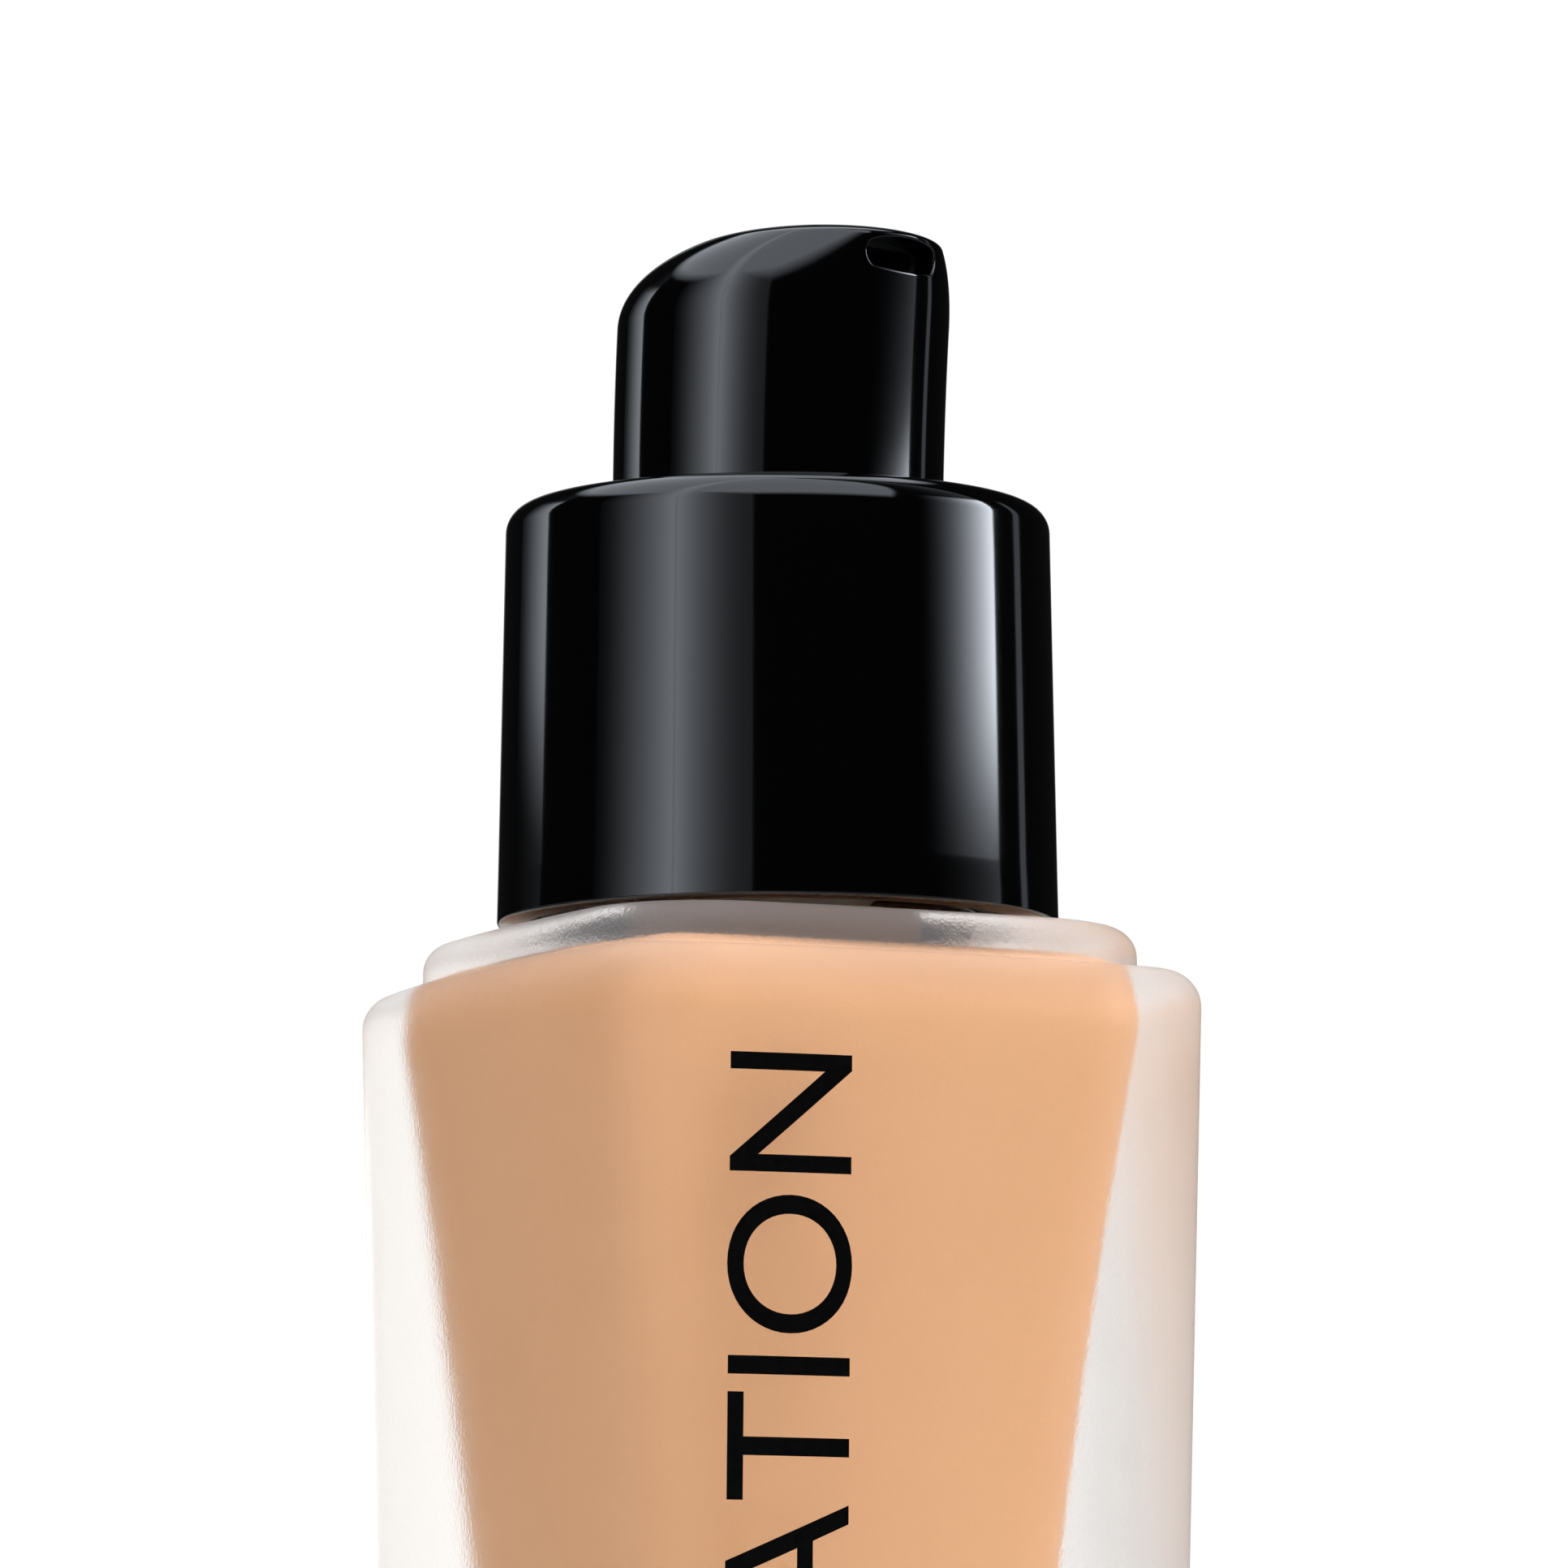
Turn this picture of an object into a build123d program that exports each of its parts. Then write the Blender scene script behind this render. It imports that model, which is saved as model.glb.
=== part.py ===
from build123d import *

import os
from math import cos, radians, sin

# Foundation bottle: a frosted glass bottle, and a lotion pump held on its neck by a screw closure and a
# glossy collar. Millimetres, +Z up, origin at the centre of the base, front face towards -Y. The pump is
# at rest: head up, spout turned a little to the right of the front face.

# ------------------------------------------------------------ bottle
BODY_HEIGHT = 68.0  # base to shoulder
BODY_HALF = 17.05  # half width across the sides, at the shoulder
BODY_BOW = 1.9  # how far a side bows out of its chord
BODY_CORNER = 4.3
BODY_TAPER = 0.0193  # half width lost per millimetre downwards
SHOULDER_ROUND = 1.8
BASE_ROUND = 1.6

STEP_HEIGHT = 2.2  # raised seat on the shoulder
STEP_HALF = 14.8
STEP_BOW = 0.9
STEP_CORNER = 7.2
STEP_ROUND = 1.4

CAVITY_FLOOR = 6.5
CAVITY_MIDDLE = 38.0
CAVITY_TOP = 68.8
CAVITY_HALF_FLOOR = 9.0
CAVITY_HALF_MIDDLE = 10.8
CAVITY_HALF_TOP = 14.55
CAVITY_BOW = 1.0
CAVITY_CORNER = 4.2
CAVITY_ROUND = 3.8  # where the walls meet the floor and the ceiling
FILL_LEVEL = 70.5
WET_GAP = 0.05  # between the liquid and whatever it wets

LABEL_HALF = 10.6  # recessed label under the base
LABEL_CORNER = 3.4
LABEL_THICK = 0.12
RECESS_HALF = 11.0
RECESS_DEPTH = 0.6
GENTLE_BOW = 0.9  # of the recess and its label

NECK_HEIGHT = 9.4
NECK_RADIUS = 8.8
NECK_BORE = 6.2
THREAD_PITCH = 3.0
THREAD_TURNS = 1.25
THREAD_DEPTH = 1.1
THREAD_ROOT = 1.7  # width of the rib where it meets the wall
THREAD_CREST = 0.7

# ------------------------------------------------------------ closure and collar
COLLAR_GAP = 0.5  # above the step
COLLAR_HEIGHT = 20.2
COLLAR_RADIUS_LOW = 13.42
COLLAR_RADIUS_TOP = 13.03
COLLAR_BORE = 12.0
COLLAR_PLATE = 1.3
COLLAR_ROUND = 1.3
COLLAR_WINDOW = 8.25  # hole that the head slides in
CAP_RADIUS = 11.3
CAP_BORE = 10.15
CAP_PLATE = 1.2
CAP_WINDOW = 3.4
CAP_RIBS = 24

# ------------------------------------------------------------ pump
SEAL_THICK = 1.0
HOUSING_FLANGE = 8.7
FLANGE_THICK = 1.0
GUIDE_FLANGE = 7.6
GUIDE_THICK = 0.8
GUIDE_DEPTH = 4.0
HOUSING_NECK = 5.6  # outer radius inside the bottle's neck
HOUSING_NECK_BORE = 4.7
BARREL_RADIUS = 5.0
BARREL_BORE = 3.9
BARREL_LENGTH = 18.6
VALVE_RADIUS = 3.6
VALVE_BORE = 2.2
VALVE_LENGTH = 4.0
SEAT_BORE = 0.8
SEAT_DEPTH = 1.6
SOCKET_RADIUS = 2.9
SOCKET_LENGTH = 6.6
BALL_RADIUS = 1.6
BALL_LIFT = 1.0
TUBE_RADIUS = 1.9
TUBE_BORE = 1.2
STEM_RADIUS = 2.6
STEM_BORE = 1.5
STEM_CLEARANCE = 0.06
PISTON_CLEARANCE = 0.05
PISTON_SLIP = 0.8
SPRING_RADIUS = 2.9
SPRING_WIRE = 0.3
SPRING_TURNS = 7

# ------------------------------------------------------------ head
HEAD_RADIUS = 7.93  # at the skirt
HEAD_SPREAD = 0.07  # radius gained over the head's height
HEAD_LEAN = 0.72  # how far the centre moves towards the spout over the same height
HEAD_RISE = 13.0  # collar top to the apex
HEAD_SINK = 1.9  # skirt inside the collar
HEAD_TURN = 20.0  # spout, degrees from -Y towards +X
BACK_ROUND = 4.4  # height of the dome at the back
FRONT_ROUND = 0.8  # and over the spout
APEX_SHIFT = 2.7  # apex, in front of the axis
DOME_POWER = 2.16  # 2 is an ellipse, more is squarer
APEX_FLAT = 0.3
HEAD_BORE = 6.65
HOLLOW_ROUND = 1.3
CEILING_THICK = 0.95  # below the orifice's lower edge
ORIFICE_RISE = 11.35  # collar top to the orifice's centre
ORIFICE_WIDTH = 4.6
ORIFICE_HEIGHT = 1.56
ORIFICE_LIP = 0.14
INSERT_SETBACK = 1.0
INSERT_WALL = 0.3
CORE_RADIUS = 3.1

# ------------------------------------------------------------ levels that follow from them
STEP_TOP = BODY_HEIGHT + STEP_HEIGHT
NECK_TOP = STEP_TOP + NECK_HEIGHT
NECK_THREAD_LOW = STEP_TOP + 3.4
COLLAR_LOW = STEP_TOP + COLLAR_GAP
COLLAR_TOP = COLLAR_LOW + COLLAR_HEIGHT
SEAL_TOP = NECK_TOP + SEAL_THICK
FLANGE_TOP = SEAL_TOP + FLANGE_THICK
GUIDE_LOW = FLANGE_TOP - GUIDE_DEPTH
GUIDE_TOP = FLANGE_TOP + GUIDE_THICK
CAP_TOP = GUIDE_TOP + CAP_PLATE
CAP_LOW = STEP_TOP + 0.9
BARREL_LOW = GUIDE_LOW - BARREL_LENGTH
SEAT_TOP = BARREL_LOW - VALVE_LENGTH
SEAT_LOW = SEAT_TOP - SEAT_DEPTH
SOCKET_TOP = SEAT_LOW - 0.8
SOCKET_LOW = SOCKET_TOP - SOCKET_LENGTH
STEM_LOW = GUIDE_LOW - 1.0
WEB_TOP = STEM_LOW - PISTON_SLIP
WEB_LOW = WEB_TOP - 2.8
PLUG_LOW = WEB_LOW - 1.0
CAGE_TOP = BARREL_LOW + 1.2
HEAD_LOW = COLLAR_TOP - HEAD_SINK
HEAD_TOP = COLLAR_TOP + HEAD_RISE
ORIFICE_LEVEL = COLLAR_TOP + ORIFICE_RISE
CORE_TOP = ORIFICE_LEVEL - ORIFICE_HEIGHT / 2 - CEILING_THICK
STEM_TOP = COLLAR_TOP + 3.6

# Level planes that follow the spout, with x forwards and with x backwards
spout = Vector(sin(radians(HEAD_TURN)), -cos(radians(HEAD_TURN)), 0)
head_plane = Plane(origin=(0, 0, 0), x_dir=spout, z_dir=(0, 0, 1))
back_plane = Plane(origin=(0, 0, 0), x_dir=-spout, z_dir=(0, 0, 1))


def bowed_square(half, bow, corner):
    """A square with bowed sides, the overlap of four large circles, and with rounded corners."""
    reach = (half**2 + bow**2) / (2 * bow)
    offset = reach - half
    with BuildSketch(mode=Mode.PRIVATE) as outline:
        Circle(2 * half)
        for centre in ((offset, 0), (-offset, 0), (0, offset), (0, -offset)):
            with Locations(centre):
                Circle(reach, mode=Mode.INTERSECT)
        fillet(outline.vertices(), corner)
    return outline.sketch


def ring(inner, outer, low, high):
    """Draws a ring's section in an upright plane, for a revolve about Z."""
    with Locations(((inner + outer) / 2, (low + high) / 2)):
        Rectangle(outer - inner, high - low)


def thread_rib(wall, crest, low):
    """One helical thread rib of trapezoid section, rooted a little inside the wall that carries it."""
    sunk = wall - 0.25 if crest > wall else wall + 0.25
    with BuildPart(mode=Mode.PRIVATE) as rib:
        with BuildLine():
            Helix(THREAD_PITCH, THREAD_PITCH * THREAD_TURNS, (wall + crest) / 2, center=(0, 0, low))
        with BuildSketch(Plane.XZ):
            with BuildLine():
                Polyline(
                    (sunk, low - THREAD_ROOT / 2),
                    (crest, low - THREAD_CREST / 2),
                    (crest, low + THREAD_CREST / 2),
                    (sunk, low + THREAD_ROOT / 2),
                    close=True,
                )
            make_face()
        sweep(is_frenet=True)
    return rib.part


def chamber(shrink):
    """The chamber inside the glass, narrower downwards, smaller all round by shrink."""
    sections = (
        (CAVITY_FLOOR + shrink, CAVITY_HALF_FLOOR),
        (CAVITY_MIDDLE, CAVITY_HALF_MIDDLE),
        (CAVITY_TOP - shrink, CAVITY_HALF_TOP),
    )
    with BuildPart(mode=Mode.PRIVATE) as space:
        for level, half in sections:
            with BuildSketch(Plane.XY.offset(level)):
                add(bowed_square(half - shrink, CAVITY_BOW, CAVITY_CORNER))
        loft()
        fillet(space.faces().filter_by(Axis.Z).edges(), CAVITY_ROUND)
    return space.part


# ------------------------------------------------------------ glass bottle, one moulding
with BuildPart() as glass_bottle:
    with BuildSketch():
        add(bowed_square(BODY_HALF - BODY_TAPER * BODY_HEIGHT, BODY_BOW, BODY_CORNER))
    with BuildSketch(Plane.XY.offset(BODY_HEIGHT)):
        add(bowed_square(BODY_HALF, BODY_BOW, BODY_CORNER))
    loft(ruled=True)
    fillet(glass_bottle.faces().sort_by(Axis.Z)[-1].edges(), SHOULDER_ROUND)
    fillet(glass_bottle.faces().sort_by(Axis.Z)[0].edges(), BASE_ROUND)
    # Step on the shoulder
    with BuildSketch(Plane.XY.offset(BODY_HEIGHT - 1)):
        add(bowed_square(STEP_HALF, STEP_BOW, STEP_CORNER))
    extrude(amount=STEP_HEIGHT + 1)
    fillet(glass_bottle.faces().sort_by(Axis.Z)[-1].edges(), STEP_ROUND)
    # Neck with its transfer bead and one start of thread
    with BuildSketch(Plane.XY.offset(STEP_TOP - 1)):
        Circle(NECK_RADIUS)
    extrude(amount=NECK_HEIGHT + 1)
    fillet(glass_bottle.faces().sort_by(Axis.Z)[-1].edges(), 0.4)
    with BuildSketch(Plane.XZ):
        ring(NECK_RADIUS - 0.5, NECK_RADIUS + 0.9, STEP_TOP + 0.7, STEP_TOP + 1.5)
    revolve(axis=Axis.Z)
    add(thread_rib(NECK_RADIUS, NECK_RADIUS + THREAD_DEPTH, NECK_THREAD_LOW))
    # Chamber, bore and the recess under the base
    add(chamber(0), mode=Mode.SUBTRACT)
    with BuildSketch(Plane.XY.offset(CAVITY_TOP - 1)):
        Circle(NECK_BORE)
    extrude(amount=NECK_TOP - CAVITY_TOP + 2, mode=Mode.SUBTRACT)
    with BuildSketch():
        add(bowed_square(RECESS_HALF, GENTLE_BOW, LABEL_CORNER))
    extrude(amount=RECESS_DEPTH, mode=Mode.SUBTRACT)

# ------------------------------------------------------------ label in the recess, stuck to its ceiling
with BuildPart() as base_label:
    with BuildSketch(Plane.XY.offset(RECESS_DEPTH - LABEL_THICK)):
        add(bowed_square(LABEL_HALF, GENTLE_BOW, LABEL_CORNER))
    extrude(amount=LABEL_THICK)

# ------------------------------------------------------------ foundation, up to the foot of the neck
with BuildPart() as foundation_fill:
    add(chamber(WET_GAP))
    with BuildSketch(Plane.XY.offset(CAVITY_TOP - 1)):
        Circle(NECK_BORE - WET_GAP)
    extrude(amount=FILL_LEVEL - CAVITY_TOP + 1)
    # Room for the pump that hangs in it
    with BuildSketch(Plane.XZ):
        ring(0, TUBE_RADIUS + WET_GAP, CAVITY_FLOOR - 1, SOCKET_LOW)
        ring(0, SOCKET_RADIUS + WET_GAP, SOCKET_LOW - WET_GAP, SOCKET_TOP)
        ring(0, VALVE_RADIUS + WET_GAP, SOCKET_TOP - WET_GAP - 0.5, BARREL_LOW)
        ring(0, BARREL_RADIUS + WET_GAP, BARREL_LOW - 2.1, FILL_LEVEL + 1)
    revolve(axis=Axis.Z, mode=Mode.SUBTRACT)

# ------------------------------------------------------------ screw cap that clamps the pump on the neck
with BuildPart() as screw_cap:
    with BuildSketch(Plane.XZ):
        ring(CAP_BORE, CAP_RADIUS, CAP_LOW, CAP_TOP)
        ring(CAP_WINDOW, CAP_RADIUS, GUIDE_TOP, CAP_TOP)
        ring(CAP_RADIUS, COLLAR_BORE, CAP_LOW + 0.9, CAP_LOW + 2.4)
        ring(CAP_RADIUS, COLLAR_BORE, CAP_TOP - 2.0, CAP_TOP - 0.5)
    revolve(axis=Axis.Z)
    with BuildSketch(Plane.XY.offset(CAP_LOW + 2.4)):
        with PolarLocations(CAP_RADIUS + 0.2, CAP_RIBS):
            Rectangle(0.8, 0.9)
    extrude(until=Until.NEXT)
    cap_thread_low = NECK_THREAD_LOW - 1.32
    add(thread_rib(CAP_BORE, CAP_BORE - THREAD_DEPTH, cap_thread_low))

# ------------------------------------------------------------ glossy collar pressed over the screw cap
with BuildPart() as collar_shell:
    with BuildSketch(Plane.XZ):
        with BuildLine():
            Polyline(
                (COLLAR_RADIUS_LOW, COLLAR_LOW),
                (COLLAR_RADIUS_TOP, COLLAR_TOP),
                (COLLAR_WINDOW, COLLAR_TOP),
                (COLLAR_WINDOW, COLLAR_TOP - COLLAR_PLATE),
                (COLLAR_BORE, COLLAR_TOP - COLLAR_PLATE),
                (COLLAR_BORE, COLLAR_LOW),
                close=True,
            )
        make_face()
    revolve(axis=Axis.Z)
    top_edges = collar_shell.faces().sort_by(Axis.Z)[-1].edges().sort_by(SortBy.RADIUS)
    fillet(top_edges[-1], COLLAR_ROUND)
    rims = collar_shell.edges().filter_by(GeomType.CIRCLE)
    fillet(rims.group_by(Axis.Z)[0].sort_by(SortBy.RADIUS)[-1], 0.25)
    fillet(rims.group_by(Axis.Z)[-1].sort_by(SortBy.RADIUS)[0], 0.2)

# ------------------------------------------------------------ seal between the neck and the pump's flange
with BuildPart() as neck_gasket:
    with BuildSketch(Plane.XZ):
        ring(NECK_BORE - 0.2, HOUSING_FLANGE, NECK_TOP, SEAL_TOP)
    revolve(axis=Axis.Z)

# ------------------------------------------------------------ pump housing: flange, barrel and tube socket
with BuildPart() as pump_housing:
    with BuildSketch(Plane.XZ):
        with BuildLine():
            Polyline(
                (HOUSING_FLANGE, FLANGE_TOP),
                (HOUSING_FLANGE, SEAL_TOP),
                (HOUSING_NECK, SEAL_TOP),
                (HOUSING_NECK, GUIDE_LOW - 1.0),
                (BARREL_RADIUS, GUIDE_LOW - 1.6),
                (BARREL_RADIUS, BARREL_LOW - 0.6),
                (VALVE_RADIUS, BARREL_LOW - 2.0),
                (VALVE_RADIUS, SOCKET_TOP + 0.4),
                (SOCKET_RADIUS, SOCKET_TOP - 0.3),
                (SOCKET_RADIUS, SOCKET_LOW),
                (TUBE_RADIUS, SOCKET_LOW),
                (TUBE_RADIUS, SOCKET_TOP),
                (SEAT_BORE, SOCKET_TOP),
                (SEAT_BORE, SEAT_LOW),
                (VALVE_BORE, SEAT_TOP),
                (VALVE_BORE, BARREL_LOW),
                (BARREL_BORE, BARREL_LOW),
                (BARREL_BORE, GUIDE_LOW),
                (HOUSING_NECK_BORE, GUIDE_LOW),
                (HOUSING_NECK_BORE, FLANGE_TOP),
                close=True,
            )
        make_face()
    revolve(axis=Axis.Z)

# ------------------------------------------------------------ guide that keeps the stem upright
with BuildPart() as pump_guide:
    with BuildSketch(Plane.XZ):
        ring(STEM_RADIUS + STEM_CLEARANCE, HOUSING_NECK_BORE, GUIDE_LOW, GUIDE_TOP)
        ring(STEM_RADIUS + STEM_CLEARANCE, GUIDE_FLANGE, FLANGE_TOP, GUIDE_TOP)
    revolve(axis=Axis.Z)
    chamfer(pump_guide.faces().sort_by(Axis.Z)[-1].edges().sort_by(SortBy.RADIUS)[0], 0.3)

# ------------------------------------------------------------ dip tube, cut on the slant at its foot
with BuildPart() as dip_tube:
    with BuildSketch(Plane.XY.offset(CAVITY_FLOOR + 1.2)):
        Circle(TUBE_RADIUS)
        Circle(TUBE_BORE, mode=Mode.SUBTRACT)
    extrude(amount=SOCKET_TOP - CAVITY_FLOOR - 1.2)
    slant = Plane(origin=(0, 0, CAVITY_FLOOR + 3.0), z_dir=(sin(radians(35)), 0, cos(radians(35))))
    split(bisect_by=slant, keep=Keep.TOP)

# ------------------------------------------------------------ cage that seats the spring, over the ball
ball_centre = SEAT_TOP - 0.05
cage_low = ball_centre + BALL_LIFT + 0.8
with BuildPart() as ball_cage:
    with BuildSketch(Plane.XZ):
        ring(STEM_BORE - 0.1, BARREL_BORE, BARREL_LOW, CAGE_TOP)
        ring(STEM_BORE - 0.1, VALVE_BORE, cage_low, BARREL_LOW)
    revolve(axis=Axis.Z)
    with BuildSketch(Plane.XY.offset(cage_low)):
        Rectangle(2 * VALVE_BORE + 1, 0.9)
        Rectangle(0.9, 2 * VALVE_BORE + 1)
    extrude(amount=1.2, mode=Mode.SUBTRACT)

# ------------------------------------------------------------ inlet ball on its conical seat
with BuildPart() as inlet_ball:
    with Locations((0, 0, ball_centre)):
        Sphere(BALL_RADIUS)

# ------------------------------------------------------------ return spring with closed ends
with BuildPart() as return_spring:
    spring_low = CAGE_TOP + SPRING_WIRE
    spring_height = PLUG_LOW - CAGE_TOP - 2 * SPRING_WIRE
    with BuildLine():
        Helix(spring_height / SPRING_TURNS, spring_height, SPRING_RADIUS, center=(0, 0, spring_low))
    with BuildSketch(Plane.XZ):
        with Locations((SPRING_RADIUS, spring_low)):
            Circle(SPRING_WIRE)
    sweep(is_frenet=True)
    for level in (spring_low, spring_low + spring_height):
        with Locations((0, 0, level)):
            Torus(SPRING_RADIUS, SPRING_WIRE)

# ------------------------------------------------------------ hollow stem under the head
with BuildPart() as pump_stem:
    with BuildSketch(Plane.XY.offset(STEM_LOW)):
        Circle(STEM_RADIUS)
        Circle(STEM_BORE, mode=Mode.SUBTRACT)
    extrude(amount=STEM_TOP - STEM_LOW)
    chamfer(pump_stem.faces().sort_by(Axis.Z)[-1].edges().sort_by(SortBy.RADIUS)[-1], 0.25)

# ------------------------------------------------------------ plug that closes the stem, seat of the piston
with BuildPart() as stem_plug:
    with BuildSketch(Plane.XZ):
        ring(0, STEM_BORE, WEB_LOW, STEM_LOW + 4.0)
        ring(0, SPRING_RADIUS + SPRING_WIRE, PLUG_LOW, WEB_LOW)
    revolve(axis=Axis.Z)
    with BuildSketch(Plane.XY.offset(WEB_LOW + 0.4)):
        with PolarLocations(STEM_BORE, 4):
            Rectangle(1.2, 0.7)
    extrude(amount=STEM_LOW + 4.0 - WEB_LOW, mode=Mode.SUBTRACT)

# ------------------------------------------------------------ piston: a web inside a lipped sleeve
with BuildPart() as piston:
    with BuildSketch(Plane.XZ):
        ring(STEM_BORE + STEM_CLEARANCE, BARREL_BORE - 0.3, WEB_LOW, WEB_TOP)
        ring(STEM_RADIUS + 0.4, BARREL_BORE - 0.3, WEB_LOW, STEM_LOW)
        ring(BARREL_BORE - 0.5, BARREL_BORE - PISTON_CLEARANCE, WEB_LOW - 0.8, WEB_LOW + 0.6)
        ring(BARREL_BORE - 0.9, BARREL_BORE - PISTON_CLEARANCE, STEM_LOW - 0.8, STEM_LOW)
    revolve(axis=Axis.Z)

# ------------------------------------------------------------ head: outer shell
def head_section(level):
    """Radius of the head at a level, and how far its centre lies towards the spout.

    Front and back climb almost straight. Each ends in a quarter of a superellipse, a tall one behind and a
    low one over the spout, and the two meet at the apex.
    """
    climb = (level - HEAD_LOW) / (HEAD_TOP - HEAD_LOW)
    reach = HEAD_RADIUS + HEAD_SPREAD * climb
    sides = []
    for side, height in ((-1, BACK_ROUND), (1, FRONT_ROUND)):
        wall = HEAD_LEAN * climb**2 + side * reach
        share = max(0, 1 - (HEAD_TOP - level) / height)
        inward = 1 - (1 - share**DOME_POWER) ** (1 / DOME_POWER)
        sides.append(wall + (APEX_SHIFT - wall) * inward)
    back, front = sides
    return max((front - back) / 2, APEX_FLAT), (front + back) / 2


dome_low = HEAD_TOP - BACK_ROUND
post_levels = [HEAD_LOW, (HEAD_LOW + dome_low) / 2, dome_low]
dome_levels = [dome_low + BACK_ROUND * sin(radians(angle)) for angle in range(0, 91, 15)]

with BuildPart() as actuator_shell:
    for levels in (post_levels, dome_levels):
        for level in levels:
            radius, lean = head_section(level)
            with BuildSketch(back_plane.offset(level)):
                with Locations((-lean, 0)):
                    Circle(radius)
        loft()
    # Hollow underneath, up to the block that the passage runs in
    with BuildPart(mode=Mode.PRIVATE) as hollow:
        with BuildSketch(Plane.XY.offset(HEAD_LOW)):
            Circle(HEAD_BORE)
        extrude(amount=CORE_TOP - HEAD_LOW)
        fillet(hollow.faces().sort_by(Axis.Z)[-1].edges(), HOLLOW_ROUND)
    add(hollow.part, mode=Mode.SUBTRACT)
    # Passage: down to the core, and out to the orifice
    with BuildSketch(head_plane.offset(CORE_TOP - 1)):
        Circle(STEM_BORE)
    extrude(amount=ORIFICE_LEVEL - CORE_TOP + 1, mode=Mode.SUBTRACT)
    mouth_plane = Plane(origin=(0, 0, ORIFICE_LEVEL), x_dir=spout.cross(Vector(0, 0, -1)), z_dir=spout)
    with BuildSketch(mouth_plane):
        SlotOverall(ORIFICE_WIDTH, ORIFICE_HEIGHT)
    extrude(amount=2 * HEAD_RADIUS, mode=Mode.SUBTRACT)
    mouth = actuator_shell.edges().filter_by_position(
        Axis.Z, ORIFICE_LEVEL - ORIFICE_HEIGHT / 2 - 0.01, ORIFICE_LEVEL + ORIFICE_HEIGHT / 2 + 0.01
    )
    fillet(mouth.filter_by(lambda edge: edge.center().dot(spout) > HEAD_RADIUS - 1.5), ORIFICE_LIP)

# ------------------------------------------------------------ head: mouthpiece set back in the orifice
with BuildPart() as nozzle_insert:
    with BuildSketch(mouth_plane.offset(STEM_BORE + 0.5)):
        SlotOverall(ORIFICE_WIDTH, ORIFICE_HEIGHT)
        SlotOverall(ORIFICE_WIDTH - 2 * INSERT_WALL, ORIFICE_HEIGHT - 2 * INSERT_WALL, mode=Mode.SUBTRACT)
    extrude(amount=HEAD_RADIUS - INSERT_SETBACK - STEM_BORE - 0.5)

# ------------------------------------------------------------ head: core with the socket for the stem
with BuildPart() as actuator_core:
    with BuildSketch(Plane.XZ):
        ring(0, CORE_RADIUS + 0.6, HEAD_LOW + 0.3, STEM_TOP + 0.8)
        ring(0, CORE_RADIUS, STEM_TOP + 0.8, CORE_TOP)
        ring(0, HEAD_BORE, COLLAR_TOP + 1.0, COLLAR_TOP + 2.0)
    revolve(axis=Axis.Z)
    with BuildSketch(Plane.XZ):
        ring(0, STEM_RADIUS + STEM_CLEARANCE, HEAD_LOW, STEM_TOP)
        ring(0, STEM_BORE, HEAD_LOW, CORE_TOP + 1)
    revolve(axis=Axis.Z, mode=Mode.SUBTRACT)

pieces = {
    "glass_bottle": glass_bottle,
    "base_label": base_label,
    "foundation_fill": foundation_fill,
    "screw_cap": screw_cap,
    "collar_shell": collar_shell,
    "neck_gasket": neck_gasket,
    "pump_housing": pump_housing,
    "pump_guide": pump_guide,
    "dip_tube": dip_tube,
    "ball_cage": ball_cage,
    "inlet_ball": inlet_ball,
    "return_spring": return_spring,
    "pump_stem": pump_stem,
    "stem_plug": stem_plug,
    "piston": piston,
    "actuator_shell": actuator_shell,
    "nozzle_insert": nozzle_insert,
    "actuator_core": actuator_core,
}
os.makedirs("parts", exist_ok=True)
for name, piece in pieces.items():
    piece.part.label = name
    export_step(piece.part, f"parts/{name}.step")
print(f"foundation: {foundation_fill.part.volume / 1000:.1f} ml")
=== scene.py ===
import math

import bmesh
import bpy
import numpy as np
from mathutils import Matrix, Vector


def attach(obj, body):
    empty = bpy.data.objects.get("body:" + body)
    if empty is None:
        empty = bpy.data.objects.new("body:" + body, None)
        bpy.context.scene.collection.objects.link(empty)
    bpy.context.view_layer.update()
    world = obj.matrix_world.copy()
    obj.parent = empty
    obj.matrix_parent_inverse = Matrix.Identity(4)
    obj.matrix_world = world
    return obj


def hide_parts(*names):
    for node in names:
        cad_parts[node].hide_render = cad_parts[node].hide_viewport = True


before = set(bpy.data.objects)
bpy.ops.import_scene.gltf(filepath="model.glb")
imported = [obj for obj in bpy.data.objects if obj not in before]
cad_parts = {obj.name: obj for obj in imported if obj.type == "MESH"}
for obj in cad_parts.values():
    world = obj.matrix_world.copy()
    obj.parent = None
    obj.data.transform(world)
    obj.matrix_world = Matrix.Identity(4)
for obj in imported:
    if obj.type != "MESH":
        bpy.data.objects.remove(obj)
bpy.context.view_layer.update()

# ---------------------------------------------------------------- glass bottle
# One moulding of soda-lime glass: a tapered square body with bowed sides, a raised step on its shoulder and
# a threaded neck. The body is acid-frosted outside. The neck and the chamber are left as the mould made them.
MM = 0.001
BODY_HEIGHT = 68.0
BODY_HALF, BODY_BOW, BODY_CORNER, BODY_TAPER = 17.05, 1.9, 4.3, 0.0193
SHOULDER_ROUND, BASE_ROUND = 1.8, 1.6
RECESS_HALF, RECESS_BOW, RECESS_CORNER, RECESS_DEPTH = 11.0, 0.9, 3.4, 0.63  # clears the label by a hair
RECESS_ROUND, RECESS_CREASE = 0.1, 0.02
STEP_HALF, STEP_BOW, STEP_CORNER, STEP_ROUND, STEP_HEIGHT = 14.8, 0.9, 7.2, 1.4, 2.2
STEP_TOP = BODY_HEIGHT + STEP_HEIGHT
STEP_FILLET = 0.3
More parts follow.
